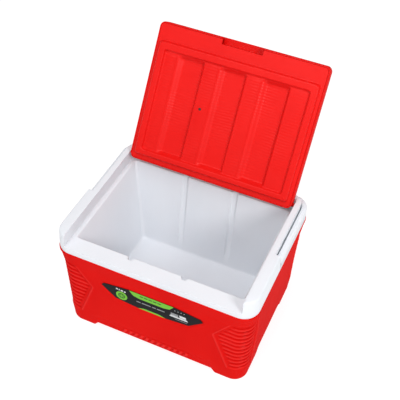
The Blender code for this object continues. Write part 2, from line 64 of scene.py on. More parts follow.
PIVOT_Y, PIVOT_Z = PIVOT.y - BODY_Y, PIVOT.z

BODY_PLACE = Matrix.Translation((0.0, BODY_Y, 0.0))
LID_PLACE = (
    Matrix.Translation((0.0, HINGE.y, HINGE.z))
    @ Matrix.Rotation(-OPEN_ANGLE, 4, "X")
    @ Matrix.Translation((0.0, -HINGE_Y, -HINGE_Z))
)

HALF_W, HALF_D = 0.165, 0.126
SEAM_Z, LEDGE_Z, WALL_TOP_Z = 0.174, 0.186, 0.2085
SHELL_R, CORNER_R = 0.025, 0.026
SHELL_WALL = 0.0032
FOOT_H = 0.009
FOOT_GAP_X, FOOT_GAP_Y = (0.1095, 0.1030), (0.056, 0.047)

SHELL_PROFILE = np.array(
    (
        (0.0000, 0.0095),
        (0.0003, 0.0086),
        (0.0009, 0.0080),
        (0.0018, 0.0077),
        (0.0060, 0.0075),
        (0.0120, 0.0071),
        (0.0200, 0.0064),
        (0.0300, 0.0057),
        (0.1480, 0.0024),
        (0.1570, 0.0015),
        (0.1640, 0.0006),
        (0.1680, 0.0003),
        (0.1690, 0.0002),
        (0.1695, -0.0002),
        (0.1702, -0.0006),
        (0.1728, -0.0006),
        (0.1735, -0.0002),
        (0.1737, 0.0004),
    )
)
FACE_LOW, FACE_HIGH = SHELL_PROFILE[7], SHELL_PROFILE[8]
# height and inset of the shell's plain inner face, from the rim down to the base
SHELL_INSIDE = ((0.1737, 0.0034), (0.157, 0.0047), (0.030, 0.0089), (0.016, 0.0105), (0.012, 0.0142))

RIB_BOTTOM, RIB_TOP, RIB_POINT, RIB_COUNT = 0.031, 0.148, 0.108, 12
CHEVRON_X, CHEVRON_Y = (0.131, 0.1035), (0.0915, 0.0860)

TUB_TOP = (0.1385, -0.0985, 0.0955, 0.005)
TUB_FLOOR = (0.1185, -0.081, 0.0770, 0.008)
TUB_FLOOR_Z = 0.0225
TUB_WALL = 0.0022
GROOVE_X, GROOVE_HALF, GROOVE_DEPTH, GROOVE_END_Z = 0.0445, 0.0052, 0.0055, 0.044
LID_SPACE_X, LID_SPACE_BACK = 0.1458, 0.1065
REBATE_FRONT, REBATE_X, REBATE_BACK, REBATE_Z = -0.0185, 0.1545, 0.1145, 0.1813

HANDLE_OUT, HANDLE_T, HANDLE_H = 0.0003, 0.0090, 0.0160

LID_X, LID_FRONT, LID_BACK = 0.1425, -0.1265, 0.1027
LID_UNDER, LID_TOP, LID_SKIN, LID_R = 0.187, 0.2083, 0.0026, 0.009
PANEL = (0.1397, -0.1237, 0.0999, 0.0062)
RING = (0.1348, -0.0971, 0.0927, 0.0060)
TRAY = (0.1228, -0.0843, 0.0825, 0.0040)
RING_Z, TRAY_Z, PIT_Z = 0.1805, 0.1850, 0.1906
PIT_X = (-0.072, 0.0, 0.072)
PIT_HALF_X = 0.018
FINGER_X, FINGER_Y, FINGER_Z = 0.0345, -0.1155, 0.2015

LABEL_CENTRE_Z = 0.1183
LABEL_EDGE = ((0.0240, -0.0188), (0.0626, -0.0145), (0.0864, 0.0068), (0.0825, 0.0122), (0.0385, 0.0188))
POCKET_DEPTH, LABEL_GAP = 0.0011, 0.0003
BAND_X, BAND_TOP, BAND_DEPTH = 0.100, 0.028, 0.0010

ARC = 14  # segments in a quarter turn of a plan corner


# ---------------------------------------------------------------- node helpers
class Nodes:
    """A short way to write a material's node tree."""

    def __init__(self, name):
        self.material = bpy.data.materials.new(name)
        self.material.use_nodes = True
        self.tree = self.material.node_tree
        self.shader = self.tree.nodes["Principled BSDF"]

    def add(self, kind, inputs=(), **settings):
        node = self.tree.nodes.new(kind)
        for key, value in settings.items():
            setattr(node, key, value)
        for key, value in dict(inputs).items():
            self.put(node.inputs[key], value)
        return node

    def put(self, socket, value):
        if isinstance(value, bpy.types.NodeSocket):
            self.tree.links.new(value, socket)
        else:
            socket.default_value = value

    def noise(self, scale, detail=3.0, roughness=0.55, vector=None):
        inputs = {"Scale": scale, "Detail": detail, "Roughness": roughness}
        inputs["Vector"] = vector or self.place
        return self.add("ShaderNodeTexNoise", inputs).outputs["Fac"]

    @property
    def place(self):
        return self.add("ShaderNodeTexCoord").outputs["Object"]

    def stretch(self, factors):
        inputs = {"Vector": self.place, "Scale": factors}
        return self.add("ShaderNodeMapping", inputs).outputs["Vector"]

    def span(self, value, start, end, low, high):
        inputs = {"Value": value, "From Min": start, "From Max": end, "To Min": low, "To Max": high}
        return self.add("ShaderNodeMapRange", inputs).outputs["Result"]

    def ramp(self, value, low, high):
        return self.span(value, 0.3, 0.7, low, high)

    def mix(self, factor, first, second):
        node = self.add("ShaderNodeMix", data_type="RGBA")
        self.put(node.inputs["Factor"], factor)
        self.put(node.inputs["A"], first)
        self.put(node.inputs["B"], second)
        return node.outputs["Result"]

    def bump(self, height, strength, distance, normal=None):
        inputs = {"Height": height, "Strength": strength, "Distance": distance}
        if normal is not None:
            inputs["Normal"] = normal
        return self.add("ShaderNodeBump", inputs).outputs["Normal"]


def shade(colour, factor):
    return (*(min(1.0, c * factor) for c in colour), 1.0)


def moulded_plastic(
    name, colour, dark, rough, grain, sheen=0.35, glint=1.0, flow=(1.0, 1.0, 0.25), coat=0.0,
    painted_relief_light=False,
):
    """Moulded plastic: drifting tint, cloudy gloss, a fine spark-eroded grain and faint sink.

    If asked, it adds a painted highlight where a value carried by the mesh is positive and a painted
    shade where it is negative.
    """
    n = Nodes(name)
    drift = n.noise(9.0, 2.0, 0.5)
    streaks = n.noise(38.0, 3.0, 0.6, n.stretch(flow))
    tint = n.mix(n.ramp(drift, 0.0, 1.0), shade(colour, 1.0), shade(dark, 1.0))
    tint = n.mix(n.ramp(streaks, 0.0, 0.35), tint, shade(colour, 1.04))
    if painted_relief_light:
        # painted highlight on raised parts and painted shade in grooves, from a value stored on the mesh
        painted_light = n.add("ShaderNodeAttribute", attribute_name="painted_light").outputs["Fac"]
        tint = n.mix(n.span(painted_light, 0.0, 1.0, 0.0, 0.55), tint, PAINTED_HIGHLIGHT_RED)
        tint = n.mix(n.span(painted_light, 0.0, -1.0, 0.0, 0.65), tint, PAINTED_SHADE_RED)
    n.put(n.shader.inputs["Base Color"], tint)
    cloud = n.noise(26.0, 4.0, 0.6)
    n.put(n.shader.inputs["Roughness"], n.ramp(cloud, rough - 0.05, rough + 0.06))
    n.shader.inputs["Specular IOR Level"].default_value = sheen
    n.shader.inputs["Specular Tint"].default_value = (1.0, glint, glint, 1.0)
    n.shader.inputs["Coat Weight"].default_value = coat
    n.shader.inputs["Coat Roughness"].default_value = 0.24
    fine = n.noise(1900.0, 2.0, 0.5)
    sink = n.noise(55.0, 2.0, 0.5)
    normal = n.bump(sink, 0.10, 0.0006)
    n.put(n.shader.inputs["Normal"], n.bump(fine, grain, 0.00012, normal))
    return n.material


def printed_ink(name, colour, rough=0.42):
    """Ink on a plastic film: slightly uneven cover and a soft print texture."""
    n = Nodes(name)
    cover = n.noise(420.0, 3.0, 0.6)
    tint = n.mix(n.ramp(cover, 0.0, 0.5), shade(colour, 1.0), shade(colour, 0.82))
    n.put(n.shader.inputs["Base Color"], tint)
    n.put(n.shader.inputs["Roughness"], n.ramp(n.noise(60.0), rough - 0.05, rough + 0.07))
    n.shader.inputs["Specular IOR Level"].default_value = 0.05
    n.put(n.shader.inputs["Normal"], n.bump(n.noise(1500.0), 0.10, 0.0001))
    return n.material


def foam(name):
    n = Nodes(name)
    cells = n.add("ShaderNodeTexVoronoi", {"Scale": 700.0, "Vector": n.place})
    edge = cells.outputs["Distance"]
    tint = n.mix(edge, (0.74, 0.70, 0.55, 1.0), (0.88, 0.86, 0.74, 1.0))
    n.put(n.shader.inputs["Base Color"], tint)
    n.shader.inputs["Roughness"].default_value = 0.95
    n.put(n.shader.inputs["Normal"], n.bump(edge, 0.5, 0.0006))
    return n.material


RED, DEEP_RED = (0.660, 0.0078, 0.0057), (0.600, 0.0048, 0.0037)
# colours of the painted highlight on rib crests and the painted shade in rib grooves
PAINTED_HIGHLIGHT_RED, PAINTED_SHADE_RED = (0.800, 0.0480, 0.0430, 1.0), (0.400, 0.0012, 0.0010, 1.0)
WHITE, COOL_WHITE = (0.725, 0.748, 0.785), (0.700, 0.727, 0.768)

# the shell's ribs get a painted highlight on their crests and a painted shade in their grooves
red_shell = moulded_plastic(
    "red_polyethylene", RED, DEEP_RED, 0.33, 0.30, 0.0, 0.50, coat=0.05, painted_relief_light=True
)
red_lid = moulded_plastic("red_lid_skin", RED, DEEP_RED, 0.36, 0.26, 0.0, 0.40, coat=0.14)
red_panel = moulded_plastic(
    "red_lid_underside", (0.710, 0.0080, 0.0058), (0.660, 0.0050, 0.0038), 0.34, 0.22, 0.45, 0.36,
    (1.0, 6.0, 1.0),
)
white_liner = moulded_plastic("white_polypropylene", WHITE, COOL_WHITE, 0.42, 0.12)
white_handle = moulded_plastic("white_handle_plastic", WHITE, COOL_WHITE, 0.38, 0.10)
dark_plug = moulded_plastic("dark_plug_rubber", (0.030, 0.020, 0.014), (0.018, 0.013, 0.010), 0.6, 0.3)
film_black = printed_ink("label_film_black", (0.0060, 0.0068, 0.0080), 0.36)
ink_green = printed_ink("label_ink_green", (0.175, 0.500, 0.045))
ink_dark_green = printed_ink("label_ink_dark_green", (0.045, 0.150, 0.030))
ink_white = printed_ink("label_ink_white", (0.62, 0.64, 0.66))
ink_grey = printed_ink("label_ink_grey", (0.27, 0.28, 0.29))
foam_look = foam("insulating_foam")


# ---------------------------------------------------------------- mesh helpers
def finish_piece(made, body, slot, look, *replaced, place=None):
    """Moves a piece to its place at rest and hangs it on its body."""
    made.data.transform(place or BODY_PLACE)
    made.data.materials.clear()
    made.data.materials.append(look)
    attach(made, body)
    if replaced:
        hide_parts(*replaced)
    return made


def link(name, mesh):
    made = bpy.data.objects.new(name, mesh)
    bpy.context.scene.collection.objects.link(made)
    return made


def mesh_object(name, bm):
    bm.normal_update()
    mesh = bpy.data.meshes.new(name)
    bm.to_mesh(mesh)
    bm.free()
    return link(name, mesh)


def grid_object(name, points, faces, sharp=40):
    mesh = bpy.data.meshes.new(name)
    mesh.from_pydata([tuple(p) for p in points], [], [tuple(f) for f in faces])
    mesh.validate()
    mesh.shade_smooth()
    mesh.set_sharp_from_angle(angle=math.radians(sharp))
    return link(name, mesh)


def boolean(target, cutter, operation="DIFFERENCE"):
    modifier = target.modifiers.new("boolean", "BOOLEAN")
    modifier.solver = "EXACT"
    modifier.operation = operation
    modifier.object = cutter
    bpy.context.view_layer.update()
    depsgraph = bpy.context.evaluated_depsgraph_get()
    result = bpy.data.meshes.new_from_object(target.evaluated_get(depsgraph))
    target.modifiers.clear()
    target.data = result
    bpy.data.objects.remove(cutter, do_unlink=True)


def bevel(made, width, angle=40, segments=3):
    made.data.shade_smooth()
    modifier = made.modifiers.new("rounded_edges", "BEVEL")
    modifier.width = width
    modifier.segments = segments
    modifier.limit_method = "ANGLE"
    modifier.angle_limit = math.radians(angle)
    modifier.harden_normals = True


def loft(name, rings):
    """A closed solid through rings of equal length, counter-clockwise seen from above."""
    bm = bmesh.new()
    rows = [[bm.verts.new(point) for point in ring] for ring in rings]
    count = len(rings[0])
    for low, high in zip(rows, rows[1:]):
        for i in range(count):
            j = (i + 1) % count
            bm.faces.new((low[i], low[j], high[j], high[i]))
    bm.faces.new(rows[0][::-1])
    bm.faces.new(rows[-1])
    return mesh_object(name, bm)


def arc(cx, cy, radius, start, end, steps=ARC):
    turn = [math.radians(start + (end - start) * k / steps) for k in range(steps + 1)]
    return [(cx + radius * math.cos(a), cy + radius * math.sin(a)) for a in turn]


def rounded(half_x, front, back, radius, z):
    points = arc(half_x - radius, back - radius, radius, 0, 90)
    points += arc(radius - half_x, back - radius, radius, 90, 180)
    points += arc(radius - half_x, front + radius, radius, 180, 270)
    points += arc(half_x - radius, front + radius, radius, 270, 360)
    return [(x, y, z) for x, y in points]


GROOVE_SHAPE = ((1.30, 0.0), (1.08, 0.04), (0.94, 0.25), (0.80, 0.75), (0.62, 0.96), (0.40, 1.0))


def grooved(half_x, front, back, radius, z, depth=0.0, widen=0.0):
    """A rounded rectangle with soft divider grooves let into its front and back."""
    half = GROOVE_HALF + widen
    across = [(half * k, depth * d) for k, d in GROOVE_SHAPE]
    across += [(-dx, dy) for dx, dy in reversed(across)]
    points = arc(half_x - radius, back - radius, radius, 0, 90)
    points += [(x + dx, back + dy * 0.5) for x in (GROOVE_X, -GROOVE_X) for dx, dy in across]
    points += arc(radius - half_x, back - radius, radius, 90, 180)
    points += arc(radius - half_x, front + radius, radius, 180, 270)
    points += [(x - dx, front - dy) for x in (-GROOVE_X, GROOVE_X) for dx, dy in across]
    points += arc(half_x - radius, front + radius, radius, 270, 360)
    return [(x, y, z) for x, y in points]


def around_back(half_x, front, back, radius):
    points = [(half_x, front)]
    points += arc(half_x - radius, back - radius, radius, 0, 90)
    points += arc(radius - half_x, back - radius, radius, 90, 180)
    return points + [(-half_x, front)]


def ribbon(name, outer, inner, low, high):
    bm = bmesh.new()
    rows = []
    for (ox, oy), (ix, iy) in zip(outer, inner):
        corners = ((ix, iy, low), (ox, oy, low), (ox, oy, high), (ix, iy, high))
        rows.append([bm.verts.new(corner) for corner in corners])
    for near, far in zip(rows, rows[1:]):
        for i in range(4):
            j = (i + 1) % 4
            bm.faces.new((near[j], near[i], far[i], far[j]))
    bm.faces.new(rows[0])
    bm.faces.new(rows[-1][::-1])
    bmesh.ops.recalc_face_normals(bm, faces=bm.faces)
    return mesh_object(name, bm)


def prism(name, outline, along, start, end):
    """An outline of (u, v) points pushed along X or Y: for X they are (y, z), for Y (x, z)."""
    bm = bmesh.new()
    place = (lambda s, u, v: (s, u, v)) if along == "X" else (lambda s, u, v: (u, s, v))
    near = [bm.verts.new(place(start, u, v)) for u, v in outline]
    far = [bm.verts.new(place(end, u, v)) for u, v in outline]
    count = len(outline)
    for i in range(count):
        j = (i + 1) % count
        bm.faces.new((near[i], near[j], far[j], far[i]))
    bm.faces.new(near[::-1])
    bm.faces.new(far)
    bmesh.ops.recalc_face_normals(bm, faces=bm.faces)
    return mesh_object(name, bm)


def block(name, x0, x1, y0, y1, z0, z1):
    return prism(name, ((y0, z0), (y1, z0), (y1, z1), (y0, z1)), "X", x0, x1)


def rod(name, radius, x0, x1, y, z, segments=32):
    circle = [2 * math.pi * k / segments for k in range(segments)]
    outline = [(y + radius * math.cos(a), z + radius * math.sin(a)) for a in circle]
    return prism(name, outline, "X", x0, x1)


def smooth(value, width):
    """0 to 1 as value goes from minus half the width to plus half, with soft ends."""
    t = np.clip(value / width + 0.5, 0.0, 1.0)
    return t * t * (3.0 - 2.0 * t)


def rect_distance(x, y, half_x, front, back, radius):
    """Signed distance to a rounded rectangle, negative inside."""
    cy, half_y = (front + back) / 2, (back - front) / 2
    qx = np.abs(x) - (half_x - radius)
    qy = np.abs(y - cy) - (half_y - radius)
    outside = np.hypot(np.maximum(qx, 0.0), np.maximum(qy, 0.0))
    return outside + np.minimum(np.maximum(qx, qy), 0.0) - radius


# ---------------------------------------------------------------- outer shell
def shell_columns():
    """Where the mesh's columns stand: (side, sign, place along it), anticlockwise from +X."""
    fine, broad = 0.0013, 0.0080
    end_x, end_y = 0.1320, 0.0945
    ribbed_x, ribbed_y = 0.092, 0.078

    def spread(end, ribbed, middle):
        outer = np.arange(ribbed, end, fine)
        half = np.concatenate((np.arange(0.0, ribbed, middle), outer, [end]))
        return np.concatenate((-half[:0:-1], half))

    side, front = spread(end_y, ribbed_y, broad), spread(end_x, ribbed_x, 0.0009)
    back = spread(end_x, ribbed_x, broad)
    turns = np.linspace(0.0, 90.0, 34)[1:-1]
    columns = [("side", 1, y) for y in side] + [("turn", (1, 1), a) for a in turns]
    columns += [("face", 1, x) for x in back[::-1]] + [("turn", (-1, 1), 90 - a) for a in turns]
    columns += [("side", -1, y) for y in side[::-1]] + [("turn", (-1, -1), a) for a in turns]
    columns += [("face", -1, x) for x in front] + [("turn", (1, -1), 90 - a) for a in turns]
    return columns


def chevron(z, ends_and_point):
    end, point = ends_and_point
    return np.interp(z, (RIB_BOTTOM, RIB_POINT, RIB_TOP), (end, point, end))


def rib_relief(inside, z, at_corner):
    """How deep the ribbed panel lies, from how far inside its edge a point is, and how much painted
    light it gets.
    """
    pitch = (RIB_TOP - RIB_BOTTOM) / RIB_COUNT
    ends = smooth(z - RIB_BOTTOM - 0.001, 0.003) * smooth(RIB_TOP - 0.001 - z, 0.003)
    panel = smooth(inside - 0.0008, 0.0016) * ends
    phase = ((z - RIB_BOTTOM) / pitch) % 1.0
    valley = smooth(phase - 0.30, 0.22) * smooth(0.84 - phase, 0.16)
    fade = smooth(inside - 0.0075, 0.0060) if not at_corner else 1.0
    lip = np.exp(-(((inside + 0.0006) / 0.0012) ** 2)) * ends
    depth = panel * (0.0009 + 0.0026 * valley * fade) - 0.0011 * lip
    # second value: painted highlight on the rib crests and the chevron lip, painted shade in the valleys
    return depth, 0.7 * panel * (1.0 - valley) * fade - panel * valley * fade + 0.9 * lip


def label_distance(x, z):
    """Signed distance to the label's outline, negative inside."""
    x, v = np.abs(x), z - LABEL_CENTRE_Z
    reach = np.maximum(v - LABEL_EDGE[-1][1], LABEL_EDGE[0][1] - v)
    for (x0, v0), (x1, v1) in zip(LABEL_EDGE, LABEL_EDGE[1:]):
        length = math.hypot(x1 - x0, v1 - v0)
        reach = np.maximum(reach, ((v1 - v0) * (x - x0) - (x1 - x0) * (v - v0)) / length)
    return reach


def front_relief(x, z):
    """The label's pocket, the sunk strip along the bottom and the slanted bars in it."""
    depth = POCKET_DEPTH * smooth(0.0022 - label_distance(x, z), 0.0014)
    strip = smooth(BAND_X - abs(x), 0.003) * smooth(BAND_TOP - z, 0.0025)
    depth = depth + BAND_DEPTH * strip
    slanted = x - 0.35 * (z - 0.017)
    phase = ((slanted + 0.056) / 0.0100) % 1.0
    bars = smooth(phase - 0.20, 0.10) * smooth(0.72 - phase, 0.10)
    bars = bars * ((slanted > -0.056) & (slanted < 0.064))
    bars = bars * smooth(z - 0.0105, 0.0014) * smooth(0.0235 - z, 0.0014)
    # second value: painted highlight on the slanted bars
    return depth - 0.0020 * bars, 0.9 * bars


def corner_waves(z, turn):
    """Shallow waves round the corner between the ribbed panel and the seam."""
    across = math.sin(math.radians(turn * 2.0)) ** 0.7
    high = smooth(z - 0.149, 0.003) * smooth(0.1665 - z, 0.004)
    wave = 0.5 + 0.5 * np.sin(2 * math.pi * (z - 0.149) / 0.0052)
    # second value: painted highlight on the wave crests and painted shade in their troughs
    return 0.00075 * across * high * wave, across * high * (0.5 - wave)


def under_height(x, y):
    """Height of the underside: four feet with slanted inner sides."""
    steep = FOOT_H / (FOOT_GAP_X[0] - FOOT_GAP_X[1])
    fall_x = np.clip(FOOT_H - (np.abs(x) - FOOT_GAP_X[1]) * steep, 0.0, FOOT_H)
    steep = FOOT_H / (FOOT_GAP_Y[0] - FOOT_GAP_Y[1])
    fall_y = np.clip(FOOT_H - (np.abs(y) - FOOT_GAP_Y[1]) * steep, 0.0, FOOT_H)
    return np.maximum(fall_x, fall_y)


def shell_point(column, inset, relief):
    """Plan position of a column at an inset from the seam's outline, pushed in by its relief."""
    kind, sign, at = column
    radius = SHELL_R - max(0.0, inset - 0.006)
    if kind == "side":
        return sign * (HALF_W - inset - relief), at
    if kind == "face":
        return at, sign * (HALF_D - inset - relief)
    sx, sy = sign
    reach, turn = radius - relief, math.radians(at)
    x = HALF_W - inset - radius + reach * math.cos(turn)
    y = HALF_D - inset - radius + reach * math.sin(turn)
    return sx * x, sy * y


def shell_relief(column, z):
    kind, sign, at = column
    if kind == "side":
        return rib_relief(abs(at) - chevron(z, CHEVRON_Y), z, False)
    if kind == "face":
        ribs = rib_relief(abs(at) - chevron(z, CHEVRON_X), z, False)
        return np.add(ribs, front_relief(at, z)) if sign < 0 else ribs
    return np.add(rib_relief(np.full_like(z, 0.03), z, True), corner_waves(z, at))


def make_shell():
    fine = np.arange(0.0095, 0.1680, 0.00105)
    heights = np.concatenate((SHELL_PROFILE[:5, 0], fine))
    heights = np.concatenate((heights, SHELL_PROFILE[-7:, 0]))
    insets = np.interp(heights, SHELL_PROFILE[:, 0], SHELL_PROFILE[:, 1])
    insets[-1] = SHELL_PROFILE[-1, 1]
    columns = shell_columns()
    count = len(columns)
    rows, painted_light = np.zeros((len(heights), count, 3)), np.zeros((len(heights), count))
    for c, column in enumerate(columns):
        # each column's second value is its painted highlight and painted shade
        relief, painted_light[:, c] = shell_relief(column, heights)
        relief[:5] = 0.0
        for r, z in enumerate(heights):
            x, y = shell_point(column, insets[r], relief[r])
            rows[r, c] = (x, y, z)
    lift = under_height(rows[:, :, 0], rows[:, :, 1])
    rows[:, :, 2] += lift * np.clip((0.018 - rows[:, :, 2]) / 0.018, 0.0, 1.0)
    base = rows[0]
    under = []
    for share in np.concatenate((np.linspace(0.0, 0.985, 40), [0.992])):
        ring = base * (1.0 - share)
        ring[:, 2] = under_height(ring[:, 0], ring[:, 1])
        under.append(ring)
    under[0][:, 2] = base[:, 2]
    inner = []
    for z, inset in SHELL_INSIDE:
        plan = [shell_point(column, inset, 0.0) for column in columns]
        inner.append(np.array([(x, y, z) for x, y in plan]))
    rings = under[:0:-1] + list(rows) + inner
    points = np.concatenate(rings)
    faces = []
    for r in range(len(rings) - 1):
        low, high = r * count, (r + 1) * count
        for c in range(count):
            d = (c + 1) % count
            faces.append((low + c, low + d, high + d, high + c))
    faces.append(tuple(range(count))[::-1])
    last = (len(rings) - 1) * count
    faces.append(tuple(range(last, last + count)))
    shell = grid_object("shell_moulding", points, faces, 50)
    values = np.zeros(len(points))
    first = (len(under) - 1) * count
    values[first : first + painted_light.size] = painted_light.ravel()
    # stores the painted highlight and painted shade values on the mesh for the shell material
    shell.data.attributes.new("painted_light", "FLOAT", "POINT").data.foreach_set("value", values)
    finish_piece(shell, "cooler_body", "red_shell", red_shell, "outer_shell")


# ---------------------------------------------------------------- label
def face_frame():
    """Placement of the front face: origin at the label's centre, local Y out of the face."""
    z, inset = SHELL_PROFILE[:, 0], SHELL_PROFILE[:, 1]
    lean = math.atan((FACE_LOW[1] - FACE_HIGH[1]) / (FACE_HIGH[0] - FACE_LOW[0]))
    y = float(np.interp(LABEL_CENTRE_Z, z, inset)) - HALF_D
    return Matrix.Translation((0.0, y, LABEL_CENTRE_Z)) @ Matrix.Rotation(lean, 4, "X")


def flat_shape(name, outline, start, end):
    """A thin plate with the given (x, z) outline on the label's plane."""
    return prism(name, outline, "Y", start, end)


def disc_outline(cx, cz, radius, steps=40):
    turn = [2 * math.pi * k / steps for k in range(steps)]
    return [(cx + radius * math.cos(a), cz + radius * math.sin(a)) for a in turn]


def bar_outline(x0, x1, z0, z1, slant=0.0):
    return [(x0, z0), (x1, z0), (x1 + slant, z1), (x0 + slant, z1)]


def snowflake(cx, cz, size, width):
    """Three crossed bars, a generic sign for cold."""
    bars = []
    for k in range(3):
        turn = math.radians(30 + 60 * k)
        along = Vector((math.cos(turn), math.sin(turn)))
        out = Vector((-along.y, along.x)) * width / 2
        corners = (along * size - out, along * size + out, -along * size + out, -along * size - out)
        bars.append([(cx + p.x, cz + p.y) for p in corners])
    return bars


def joined(name, outlines, start, end):
    """Several plates as one mesh object."""
    bm = bmesh.new()
    for outline in outlines:
        part = flat_shape("part", outline, start, end)
        bm.from_mesh(part.data)
        bpy.data.objects.remove(part, do_unlink=True)
    return mesh_object(name, bm)


def mirrored(right):
    """A closed outline from its right half."""
    return right + [(-x, z) for x, z in reversed(right)]


def make_label():
    top = POCKET_DEPTH - LABEL_GAP - 0.0006
    plate = flat_shape("label_plate", mirrored(list(LABEL_EDGE)), top, POCKET_DEPTH - LABEL_GAP)
    bevel(plate, 0.00018, 60, 2)
    ink = 0.00008

    def layer(level):
        return top - ink * level, top + 0.0001

    badge = (-0.0515, -0.0029)
    green = [mirrored([(0.0205, 0.0066), (0.0310, 0.0092), (0.0378, 0.0185)])]
    green.append(mirrored([(0.0236, -0.0185), (0.0130, -0.0150)]))
    green.append(disc_outline(*badge, 0.0098))
    dark = [disc_outline(*badge, 0.0062)]
    starts = np.arange(-0.0200, 0.0150, 0.0076)
    dark += [bar_outline(x, x + 0.0060, 0.0120, 0.0146, 0.0006) for x in starts]
    grey = [bar_outline(x, x + w, -0.0032, -0.0012) for x, w in LINE_BARS]
    grey += [bar_outline(0.0405, 0.0605, -0.0102, -0.0092), bar_outline(0.0330, 0.0455, 0.0002, 0.0036)]
    white = [bar_outline(x, x + w, z, z + 0.0032, 0.0006) for x, w, z in BADGE_BARS]
    white += [
        mirrored_about(0.0465, 0.0155, -0.0060, -0.0026, 0.0010),
        bar_outline(0.0480, 0.0590, -0.0018, 0.0036, -0.0008),
        bar_outline(0.0335, 0.0450, -0.0018, -0.0006),
    ]
    white += [disc_outline(x, 0.0115, 0.0007, 12) for x in (0.0400, 0.0452, 0.0504, 0.0556)]
    mark = snowflake(*badge, 0.0046, 0.0012)
    pieces = (
        ("label_green_fields", green, 1, ink_green),
        ("label_dark_bars", dark, 2, ink_dark_green),
        ("label_grey_bars", grey, 1, ink_grey),
        ("label_white_signs", white, 1, ink_white),
        ("label_badge_sign", mark, 3, ink_green),
    )
    for name, outlines, level, look in pieces:
        piece = joined(name, outlines, *layer(level))
        piece.data.transform(face_frame())
        finish_piece(piece, "cooler_body", "black_label", look)
    plate.data.transform(face_frame())
    finish_piece(plate, "cooler_body", "black_label", film_black, "front_label")


def mirrored_about(x, half, low, high, slant):
    """A wide low bar with sloped ends."""
    return [(x - half, low), (x + half, low), (x + half - 2 * slant, high), (x - half + slant, high)]


LINE_BARS = ((-0.0255, 0.0070), (-0.0165, 0.0155), (0.0010, 0.0065), (0.0095, 0.0130))
BADGE_BARS = (
    (-0.0610, 0.0034, 0.0094),
    (-0.0562, 0.0018, 0.0088),
    (-0.0528, 0.0040, 0.0086),
    (-0.0472, 0.0030, 0.0080),
)


# ---------------------------------------------------------------- liner
def tub_ring(z, out=0.0, grooves=True):
    share = (z - TUB_FLOOR_Z) / (LEDGE_Z - TUB_FLOOR_Z)
    half, front, back, radius = (a + (b - a) * share for a, b in zip(TUB_FLOOR, TUB_TOP))
    depth = GROOVE_DEPTH if grooves else 0.0
    return grooved(half + out, front - out, back + out, radius + out, z, depth, out)


def tub_floor_ring(z, inward, out=0.0):
    half, front, back, radius = TUB_FLOOR
    grow = out - inward
    return grooved(half + grow, front - grow, back + grow, radius, z)


def rim_ring(z, inset):
    return grooved(HALF_W - inset, inset - HALF_D, HALF_D - inset, CORNER_R - inset, z)


def mouth_ring(z, out):
    half, front, back, radius = TUB_TOP
    return grooved(half + out, front - out, back + out, radius + out, z, GROOVE_DEPTH)


def make_liner():
    full_z = GROOVE_END_Z + 0.006
    under = LEDGE_Z - 0.0032
    rings = [
        tub_floor_ring(TUB_FLOOR_Z - TUB_WALL, 0.003, TUB_WALL),
        tub_floor_ring(TUB_FLOOR_Z + 0.001, 0.0, TUB_WALL),
        tub_ring(GROOVE_END_Z, TUB_WALL, grooves=False),
        tub_ring(full_z, TUB_WALL),
        tub_ring(under, TUB_WALL),
        grooved(0.1450, -0.110, 0.1045, 0.016, under),
        grooved(0.1475, -0.1125, 0.107, 0.018, 0.178),
        rim_ring(0.178, 0.0033),
        rim_ring(SEAM_Z, 0.0031),
        rim_ring(SEAM_Z, 0.0008),
        rim_ring(SEAM_Z + 0.0003, 0.0002),
        rim_ring(SEAM_Z + 0.0010, 0.0),
        rim_ring(SEAM_Z + 0.010, 0.0),
        rim_ring(WALL_TOP_Z - 0.0040, 0.0012),
        rim_ring(WALL_TOP_Z - 0.0022, 0.0016),
        rim_ring(WALL_TOP_Z - 0.0010, 0.0022),
        rim_ring(WALL_TOP_Z - 0.0003, 0.0031),
        rim_ring(WALL_TOP_Z, 0.0042),
        mouth_ring(WALL_TOP_Z, 0.0022),
        mouth_ring(0.1870, 0.0022),
        mouth_ring(LEDGE_Z - 0.0003, 0.0012),
        mouth_ring(LEDGE_Z - 0.0010, 0.0004),
        tub_ring(LEDGE_Z - 0.0022),
        tub_ring(full_z + 0.001),
        tub_ring(GROOVE_END_Z + 0.001, grooves=False),
        tub_floor_ring(TUB_FLOOR_Z + 0.0040, -0.0004),
        tub_floor_ring(TUB_FLOOR_Z + 0.0020, 0.0003),
        tub_floor_ring(TUB_FLOOR_Z + 0.0007, 0.0014),
        tub_floor_ring(TUB_FLOOR_Z + 0.0001, 0.0028),
        tub_floor_ring(TUB_FLOOR_Z, 0.0044),
    ]
    liner = loft("liner_moulding", rings)
    space = [rounded(LID_SPACE_X, -0.16, LID_SPACE_BACK, 0.008, z) for z in (LEDGE_Z, 0.23)]
    boolean(liner, loft("lid_space", space))
    outer = around_back(0.185, REBATE_FRONT, 0.146, 0.030)
    inner = around_back(REBATE_X, REBATE_FRONT, REBATE_BACK, 0.0162)
    boolean(liner, ribbon("rebate", outer, inner, REBATE_Z, 0.23))
    boolean(liner, stop_cutter())
    for side in (-1, 1):
        hole = sorted((side * 0.140, side * 0.1510))
        boolean(liner, rod("hinge_hole", 0.0033, *hole, HINGE_Y, HINGE_Z))
    bevel(liner, 0.0011, 42, 3)
    finish_piece(liner, "cooler_body", "white_liner", white_liner, "inner_liner")


def stop_cutter():
    """The sloped top edge of the back wall that the open lid leans on."""
    low, high = 0.202, 0.214

    def lid_top_y(z):
        rise = LID_TOP - HINGE_Z + 0.0003
        return HINGE_Y + (rise - math.cos(OPEN_ANGLE) * (z - HINGE_Z)) / math.sin(OPEN_ANGLE)

    outline = ((0.100, low), (lid_top_y(low), low), (lid_top_y(high), high), (0.100, high))
    return prism("stop", outline, "X", -0.145, 0.145)


